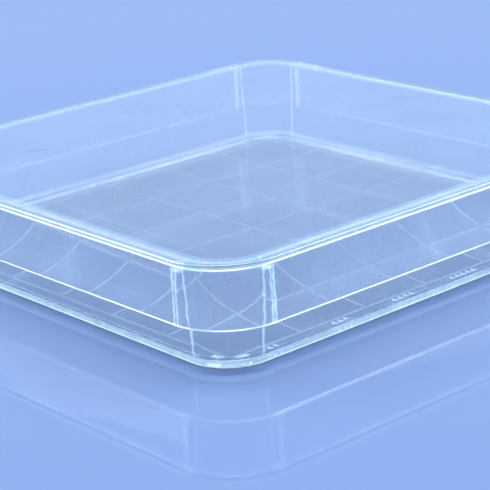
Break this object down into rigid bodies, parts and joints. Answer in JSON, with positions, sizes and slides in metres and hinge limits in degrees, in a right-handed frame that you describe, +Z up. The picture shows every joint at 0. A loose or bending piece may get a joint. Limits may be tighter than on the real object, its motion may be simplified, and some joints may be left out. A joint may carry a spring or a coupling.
{
  "type": "square petri dish",
  "caption": "Clear square petri dish with rounded corners, a ruled grid of squares moulded under its floor, and a loose lid whose deep skirt hangs over the dish's wall.",
  "frame": {"origin": "centre of the footprint, on the surface that the dish stands on", "axes": "+Z up, the way the lid lifts off; +X and +Y square to the dish's flat sides, with the row marks along the +X side"},
  "size_m": [0.1004, 0.1004, 0.0175],
  "materials": {
    "clear_plastic": "crystal-clear moulded polystyrene, glossy on both sides, with light gathering in its edges"
  },
  "bodies": {
    "dish": {"dish_base": "clear_plastic"},
    "lid": {"lid": "clear_plastic"}
  },
  "joints": [
    {"name": "lid_lift", "type": "slide", "parent": "dish", "child": "lid", "axis": [0, 0, 1], "range_m": [0, 0.03]}
  ]
}
